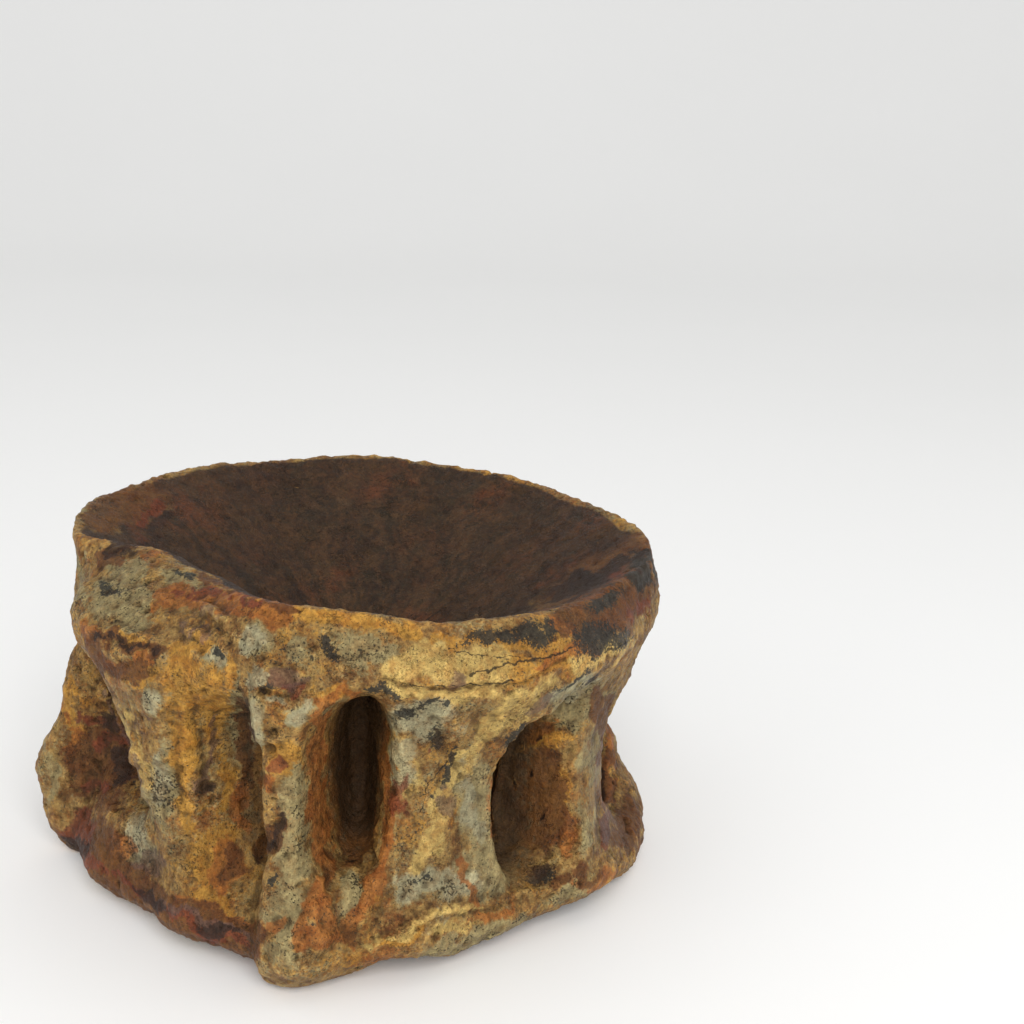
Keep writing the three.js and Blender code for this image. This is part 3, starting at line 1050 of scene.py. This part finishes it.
def grain_group():
    group, given, result = new_group(
        "bone grain",
        [("Place", "NodeSocketVector", None)],
        [(name, "NodeSocketFloat") for name in (*GRAIN_NOISES, "Specks", "Fibres")],
    )
    place = given.outputs["Place"]
    grains = {name: noise_value(group, place, *look) for name, look in GRAIN_NOISES.items()}
    crowded = smooth_range(group, noise_value(group, place, *CROWD_NOISE), *CROWDED_DOTS)
    dotted = math_node(group, "ADD", noise_value(group, place, *DOT_NOISE), crowded)
    grains["Specks"] = smooth_range(group, dotted, *SPECK_EDGE)
    upright = vector_node(group, "MULTIPLY", place, FIBRE_STRETCH)
    grains["Fibres"] = noise_value(group, upright, *FIBRE_NOISE)
    for name, value in grains.items():
        group.links.new(value, result.inputs[name])
    return group


bone_grain = grain_group()
print("group:", bone_grain.name)

# %% Group: a hairline crack between two places
CRACK_CORE = 0.4


def crack_group():
    group, given, result = new_group(
        "hairline crack",
        [("Place", "NodeSocketVector", None), ("Start", "NodeSocketVector", None),
         ("End", "NodeSocketVector", None), ("Inward", "NodeSocketVector", None),
         ("Width", "NodeSocketFloat", 0.12), ("Depth", "NodeSocketFloat", 1.5)],
        [("Mask", "NodeSocketFloat")],
    )
    way = vector_node(group, "SUBTRACT", given.outputs["End"], given.outputs["Start"])
    here = vector_node(group, "SUBTRACT", given.outputs["Place"], given.outputs["Start"])
    length_squared = vector_node(group, "DOT_PRODUCT", way, way)
    share = math_node(group, "DIVIDE", vector_node(group, "DOT_PRODUCT", here, way), length_squared)
    on_way = add_node(group, "ShaderNodeClamp", {"Value": share}).outputs[0]
    apart = vector_node(group, "SUBTRACT", here, scaled(group, way, on_way))
    depth = vector_node(group, "DOT_PRODUCT", apart, given.outputs["Inward"])
    flat = vector_node(group, "SUBTRACT", apart, scaled(group, given.outputs["Inward"], depth))
    distance = vector_node(group, "LENGTH", flat)
    inner = math_node(group, "MULTIPLY", given.outputs["Width"], CRACK_CORE)
    across = smooth_range(group, distance, inner, given.outputs["Width"], 1.0, 0.0)
    near = math_node(group, "LESS_THAN", math_node(group, "ABSOLUTE", depth), given.outputs["Depth"])
    group.links.new(math_node(group, "MULTIPLY", across, near), result.inputs["Mask"])
    return group


hairline_crack = crack_group()
print("group:", hairline_crack.name)

# %% [markdown]
# The fossil bone's material
#
# The colour starts as mottled tan bone. Each stain is laid over it in turn, the pale ones first and the
# dark ones last. Then come the hollows, with orange-brown pit walls and pit floors darkened as painted
# shade, the cups in dark red-brown that is partly painted shade, the crevices darkened as painted shade,
# the worn edges, which are a lighter tone of what they are made of, the specks, the cracks and the grain.
# A painted picture could hold all this, but noise
# stays sharp however near one looks. The surface is dull stone with a thin worn varnish, a little
# glossier where it is smooth.

# %% Finishes and cracks
BONE, BONE_DARK = "987843", "6f5029"
STAIN_FINISHES = {
    # name: colour, strength, blotches, grains, fineness of the grains, softness
    "ochre": ("a97b31", 0.88, 1.1, 1.1, 2.8, 0.24),
    "grey_green": ("8b7f58", 0.84, 1.1, 1.8, 3.0, 0.24),
    "cream": ("b89b59", 0.86, 1.1, 1.2, 2.6, 0.36),
    "pale_grey": ("979071", 0.8, 1.1, 1.5, 3.0, 0.3),
    "orange": ("8f5624", 0.82, 1.1, 1.3, 2.8, 0.24),
    "rust": ("5f3a1c", 0.88, 1.1, 1.4, 2.8, 0.22),
    "red": ("703822", 0.8, 1.1, 1.4, 2.8, 0.22),
    "purple": ("5d463f", 0.65, 1.1, 1.5, 2.8, 0.22),
    "blue_black": ("2b2b26", 0.92, 0.9, 3.6, 4.0, 0.14),
    "dark": ("2f1f16", 0.88, 1.1, 1.6, 2.8, 0.22),
}
# the pit walls take an orange-brown stain and a crust; the pit floor's near-black is painted shade
PIT_WALL, PIT_CRUST, PIT_FLOOR_SHADE = "6b431b", "66563a", "3a2816"
# the cup colours are a dark red-brown stain, made darker as painted shade
CUP_BROWN, CUP_DARK, CUP_RED = "452d1c", "251811", "5e3019"
# the crevice brown is painted shade in small creases
CREVICE_BROWN, SPECK_COLOUR, CRACK_COLOUR = "39260f", "332b1f", "1f1811"
WARM_MOTTLE = "c48f52"
SEED_STEP = 31.0
CRACKS = {
    # name: pixels, width in mm
    "rim, long": ([(470, 674), (523, 661), (554, 655), (573, 648)], 0.13),
    "rim, low": ([(402, 685), (439, 686), (494, 684), (514, 681)], 0.11),
    "rim, fine": ([(448, 650), (492, 657), (520, 657)], 0.06),
    "column": ([(420, 812), (427, 788), (449, 760)], 0.08),
    "rim, right": ([(604, 652), (634, 636)], 0.13),
    "flake edge": ([(218, 628), (230, 642)], 0.12),
    "strut chip": ([(262, 858), (274, 842)], 0.16),
}
CRACK_JAGS, CRACK_SHAKE_MM = {"scale": 1.1, "detail": 3.0}, 0.9
CRACK_GAPS, GAPING_WIDTH = {"scale": 0.9, "detail": 3.0}, (0.35, 0.65, 0.3, 1.4)


def weight_of(tree, name):
    return add_node(tree, "ShaderNodeAttribute", attribute_name=name).outputs["Fac"]


def bone_place(tree):
    """Places on the bone in millimetres."""
    return scaled(tree, add_node(tree, "ShaderNodeTexCoord").outputs["Object"], 1 / MM)


def stain_mask(tree, place, name, seed):
    _, strength, blotches, grains, fineness, softness = STAIN_FINISHES[name]
    inputs = {
        "Place": place, "Weight": weight_of(tree, "stain_" + name), "Seed": seed,
        "Blotches": blotches, "Grains": grains, "Fineness": fineness, "Softness": softness,
    }
    group = add_node(tree, "ShaderNodeGroup", inputs, node_tree=grainy_edge)
    return math_node(tree, "MULTIPLY", group.outputs["Mask"], strength)


def crack_mask(tree, place):
    """All cracks in one mask, with their lines shaken a little so that they run jagged."""
    jags = noise_node(tree, place, **CRACK_JAGS).outputs["Color"]
    both_ways = vector_node(tree, "SUBTRACT", jags, (NOISE_MEAN, NOISE_MEAN, NOISE_MEAN))
    shaken = vector_node(tree, "ADD", place, scaled(tree, both_ways, CRACK_SHAKE_MM))
    gaping = smooth_range(tree, noise_value(tree, place, **CRACK_GAPS), *GAPING_WIDTH)
    mask = 0.0
    for pixels, width in CRACKS.values():
        places = [place_at(pixel) / MM for pixel in pixels]
        for start, end in zip(places[:-1], places[1:]):
            inward = bone_axis / MM - (start + end) / 2
            inward.z = 0
            inputs = {
                "Place": shaken, "Start": start, "End": end, "Inward": inward.normalized(),
                "Width": math_node(tree, "MULTIPLY", gaping, width),
            }
            group = add_node(tree, "ShaderNodeGroup", inputs, node_tree=hairline_crack)
            mask = math_node(tree, "MAXIMUM", mask, group.outputs["Mask"])
    return mask


print("cracks:", len(CRACKS))

# %% Mix the stains into one material
# four numbers are a range that is read, and what its two ends become; two numbers become 0 and 1
BONE_MOTTLE, WARM_SHARE = (0.36, 0.66), (0.42, 0.66, 0.0, 0.45)
WHITE = (1.0, 1.0, 1.0, 1.0)
CUP_STREAKS_AROUND, CUP_STREAKS_INWARD = 22.0, 0.12
CUP_BENDS, CUP_BEND_MM = {"scale": 0.22, "detail": 3.0}, (9.0, 9.0, 9.0)
CUP_STREAK_NOISE, CUP_PATCH_NOISE = {"scale": 0.42, "detail": 6.0}, {"scale": 0.13, "detail": 5.0}
BROWN_STREAKS, RED_STREAKS, RED_PATCHES = (0.35, 0.68), (0.35, 0.65), (0.5, 0.72)
HOLLOW_CLOUD, CUP_CLOUD = 0.7, 0.8
CRUSTED_WALL, CUP_SHARE = (0.48, 0.6), (0.3, 0.8, 0.0, 0.93)
# these two ranges lay the pit-wall stain and the painted shade of the pit floors
WALL_SHARE, FLOOR_SHADE_SHARE = (0.15, 0.6, 0.0, 0.6), (0.5, 1.0, 0.0, 0.85)
# painted shade darkens the crevices, and wear lightens the edges
CREVICE_SHADE, EDGE_LIGHTER = (0.15, 1.0, 0.0, 0.65), (-0.3, -1.0, 1.0, 1.4)


def stained_stone(tree, place, grains):
    """The bone's colour with all stains, and the mask of the sandstone, which is the speckled one."""
    cloudy = smooth_range(tree, grains["Mottle"], *BONE_MOTTLE)
    colour = mix_colour(tree, cloudy, linear(BONE), linear(BONE_DARK))
    masks = {}
    for name, finish in STAIN_FINISHES.items():
        masks[name] = stain_mask(tree, place, name, SEED_STEP * list(STAINS).index(name))
        colour = mix_colour(tree, masks[name], colour, linear(finish[0]))
    warm = smooth_range(tree, grains["Mottle"], *WARM_SHARE)
    tint = mix_colour(tree, warm, WHITE, linear(WARM_MOTTLE))
    return vector_node(tree, "MULTIPLY", colour, tint), masks["grey_green"]


def cup_stain_and_shade(tree, place):
    """Dark red-brown stain with streaks that run from the rim to the middle, made darker as painted shade.
    """
    from_axis = vector_node(tree, "SUBTRACT", place, tuple(bone_axis / MM))
    flat = vector_node(tree, "MULTIPLY", from_axis, (1.0, 1.0, 0.0))
    around = scaled(tree, vector_node(tree, "NORMALIZE", flat), CUP_STREAKS_AROUND)
    streaked = vector_node(tree, "ADD", around, scaled(tree, flat, CUP_STREAKS_INWARD))
    bends = noise_node(tree, place, **CUP_BENDS).outputs["Color"]
    bent = vector_node(tree, "MULTIPLY_ADD", bends, CUP_BEND_MM, streaked)
    streaks = noise_value(tree, bent, **CUP_STREAK_NOISE)
    patches = noise_value(tree, place, **CUP_PATCH_NOISE)
    brown = smooth_range(tree, streaks, *BROWN_STREAKS)
    colour = mix_colour(tree, brown, linear(CUP_DARK), linear(CUP_BROWN))
    red_patches = smooth_range(tree, patches, *RED_PATCHES)
    red = math_node(tree, "MULTIPLY", red_patches, smooth_range(tree, streaks, *RED_STREAKS))
    return mix_colour(tree, red, colour, linear(CUP_RED))


# orange-brown stain on the pit walls, and painted shade that darkens the pit floors and the cups
def stained_and_shaded_hollows(tree, colour, place, grains):
    cloud = math_node(tree, "SUBTRACT", grains["Cloud"], NOISE_MEAN)
    hollow = math_node(tree, "MULTIPLY_ADD", cloud, HOLLOW_CLOUD, weight_of(tree, "hollow"))
    crusted = smooth_range(tree, grains["Mottle"], *CRUSTED_WALL)
    wall = mix_colour(tree, crusted, linear(PIT_WALL), linear(PIT_CRUST))
    colour = mix_colour(tree, smooth_range(tree, hollow, *WALL_SHARE), colour, wall)
    # painted shade: the deeper a point lies in a pit, the darker its floor turns
    colour = mix_colour(tree, smooth_range(tree, hollow, *FLOOR_SHADE_SHARE), colour, linear(PIT_FLOOR_SHADE))
    # partly painted shade: the cups turn dark red-brown
    cup = math_node(tree, "MULTIPLY_ADD", cloud, CUP_CLOUD, weight_of(tree, "cup"))
    return mix_colour(tree, smooth_range(tree, cup, *CUP_SHARE), colour, cup_stain_and_shade(tree, place))


# painted shade in the crevices, then lighter worn edges
def crevice_shade_and_worn_edges(tree, colour):
    sheltered = math_node(tree, "MAXIMUM", weight_of(tree, "cup"), weight_of(tree, "hollow"))
    open_share = math_node(tree, "SUBTRACT", 1.0, sheltered)
    crevice = math_node(tree, "MULTIPLY", weight_of(tree, "crevice"), open_share)
    # painted shade: small crevices darken to brown
    painted_crevice_shade = smooth_range(tree, crevice, *CREVICE_SHADE)
    colour = mix_colour(tree, painted_crevice_shade, colour, linear(CREVICE_BROWN))
    return scaled(tree, colour, smooth_range(tree, crevice, *EDGE_LIGHTER))


print("the material has", len(STAIN_FINISHES), "stains")

# %% Add specks, cracks, grain and gloss
SPECKS_ON_SANDSTONE, SPECKS_ON_WORN = (0.2, 0.8, 0.3, 0.9), (0.0, 1.0, 1.0, 0.35)
CRACK_STRENGTH = 0.85
GRAIN_SHADE, FIBRE_SHADE = (0.25, 0.75, 0.66, 1.3), (0.3, 0.7, 0.86, 1.1)
DULLNESS, GRAIN_DULLNESS = (0.0, 1.0, 0.5, 0.36), (0.3, 0.7, -0.1, 0.12)
SPECULAR = 0.22
SPECK_RISE, FIBRE_RISE = -0.6, 0.7
BUMP_STRENGTH, BUMP_MM = 0.9, 0.28


def specks_and_cracks(tree, colour, place, sandstone, specks):
    on_stone = smooth_range(tree, sandstone, *SPECKS_ON_SANDSTONE)
    unworn = smooth_range(tree, weight_of(tree, "smooth"), *SPECKS_ON_WORN)
    share = math_node(tree, "MULTIPLY", math_node(tree, "MULTIPLY", on_stone, unworn), specks)
    colour = mix_colour(tree, share, colour, linear(SPECK_COLOUR))
    cracks = math_node(tree, "MULTIPLY", crack_mask(tree, place), CRACK_STRENGTH)
    return mix_colour(tree, cracks, colour, linear(CRACK_COLOUR))


def grain_shade(tree, grains):
    shade = smooth_range(tree, grains["Grain"], *GRAIN_SHADE)
    return math_node(tree, "MULTIPLY", shade, smooth_range(tree, grains["Fibres"], *FIBRE_SHADE))


def dullness(tree, grains):
    dull = smooth_range(tree, weight_of(tree, "smooth"), *DULLNESS)
    return math_node(tree, "ADD", dull, smooth_range(tree, grains["Grain"], *GRAIN_DULLNESS))


def grain_bump(tree, grains):
    relief = math_node(tree, "MULTIPLY_ADD", grains["Specks"], SPECK_RISE, grains["Grain"])
    relief = math_node(tree, "MULTIPLY_ADD", grains["Fibres"], FIBRE_RISE, relief)
    inputs = {"Height": relief, "Strength": BUMP_STRENGTH, "Distance": BUMP_MM * MM}
    return add_node(tree, "ShaderNodeBump", inputs).outputs["Normal"]


def fossil_bone():
    material = bpy.data.materials.new("fossil_bone")
    material.use_nodes = True
    tree = material.node_tree
    shader = tree.nodes["Principled BSDF"]
    place = bone_place(tree)
    grains = add_node(tree, "ShaderNodeGroup", {"Place": place}, node_tree=bone_grain).outputs
    colour, sandstone = stained_stone(tree, place, grains)
    colour = stained_and_shaded_hollows(tree, colour, place, grains)
    colour = crevice_shade_and_worn_edges(tree, colour)
    colour = specks_and_cracks(tree, colour, place, sandstone, grains["Specks"])
    shaded = scaled(tree, colour, grain_shade(tree, grains))
    tree.links.new(shaded, shader.inputs["Base Color"])
    tree.links.new(dullness(tree, grains), shader.inputs["Roughness"])
    tree.links.new(grain_bump(tree, grains), shader.inputs["Normal"])
    shader.inputs["Specular IOR Level"].default_value = SPECULAR
    return material


bone.data.materials.clear()
bone.data.materials.append(fossil_bone())
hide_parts("centrum")
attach(bone, "root")
print("the bone's material has", len(bone.data.materials[0].node_tree.nodes), "nodes")

# %% [markdown]
# Floor and light
#
# The bone stands on a pale floor that curves up behind it, so that no horizon shows. A picture of a
# studio could light it, but lamps are easier to steer. A large soft one stands in front and high up, a
# much weaker one to the left, and a white sky fills the shadows, as the walls of a studio do.

# %% Floor, lamps and sky
FLOOR_WIDTH, FLOOR_FRONT, FLOOR_BACK = 2.4, -0.9, 0.55
SWEEP_RADIUS, SWEEP_STEPS, WALL_HEIGHT = 0.35, 16, 1.4
PAPER, PAPER_LIGHT, PAPER_ROUGHNESS = "f9f9f8", "fdfdfc", 0.8
PAPER_CLOUDS = {"scale": 6.0, "detail": 3.0}
KEY_LAMP = {"place": (0.05, -0.42, 0.32), "size": 0.30, "watts": 1.6}
FILL_LAMP = {"place": (-0.34, -0.26, 0.22), "size": 0.30, "watts": 0.15}
LAMPS_AIM_AT = Vector((0, 0, 0.015))
SKY_STRENGTH = 0.7


def floor_profile():
    points = [(FLOOR_FRONT, 0.0), (FLOOR_BACK, 0.0)]
    for step in range(1, SWEEP_STEPS + 1):
        turn = math.radians(90) * step / SWEEP_STEPS
        points.append((FLOOR_BACK + SWEEP_RADIUS * math.sin(turn), SWEEP_RADIUS * (1 - math.cos(turn))))
    points.append((FLOOR_BACK + SWEEP_RADIUS, WALL_HEIGHT))
    return points


def pale_paper():
    material = bpy.data.materials.new("pale_paper")
    material.use_nodes = True
    tree = material.node_tree
    shader = tree.nodes["Principled BSDF"]
    place = add_node(tree, "ShaderNodeTexCoord").outputs["Object"]
    cloud = noise_value(tree, place, **PAPER_CLOUDS)
    colour = mix_colour(tree, cloud, linear(PAPER), linear(PAPER_LIGHT))
    tree.links.new(colour, shader.inputs["Base Color"])
    shader.inputs["Roughness"].default_value = PAPER_ROUGHNESS
    return material


def add_floor():
    profile = floor_profile()
    half = FLOOR_WIDTH / 2
    corners = [(x, y, z) for y, z in profile for x in (-half, half)]
    faces = [(2 * k, 2 * k + 1, 2 * k + 3, 2 * k + 2) for k in range(len(profile) - 1)]
    mesh = bpy.data.meshes.new("studio_floor")
    mesh.from_pydata(corners, [], faces)
    mesh.shade_smooth()
    mesh.materials.append(pale_paper())
    floor = linked("studio_floor", mesh)


def add_lamp(name, place, size, watts):
    lamp = bpy.data.lights.new(name, "AREA")
    lamp.size = size
    lamp.energy = watts
    holder = linked(name, lamp)
    holder.location = place
    holder.rotation_euler = (LAMPS_AIM_AT - holder.location).to_track_quat("-Z", "Y").to_euler()


def add_sky():
    sky = bpy.data.worlds.new("studio_sky")
    sky.use_nodes = True
    background = sky.node_tree.nodes["Background"]
    background.inputs["Color"].default_value = WHITE
    background.inputs["Strength"].default_value = SKY_STRENGTH
    bpy.context.scene.world = sky


add_floor()
add_lamp("key_lamp", **KEY_LAMP)
add_lamp("fill_lamp", **FILL_LAMP)
add_sky()
bpy.context.scene.view_settings.view_transform = "Standard"
print("stage is set")
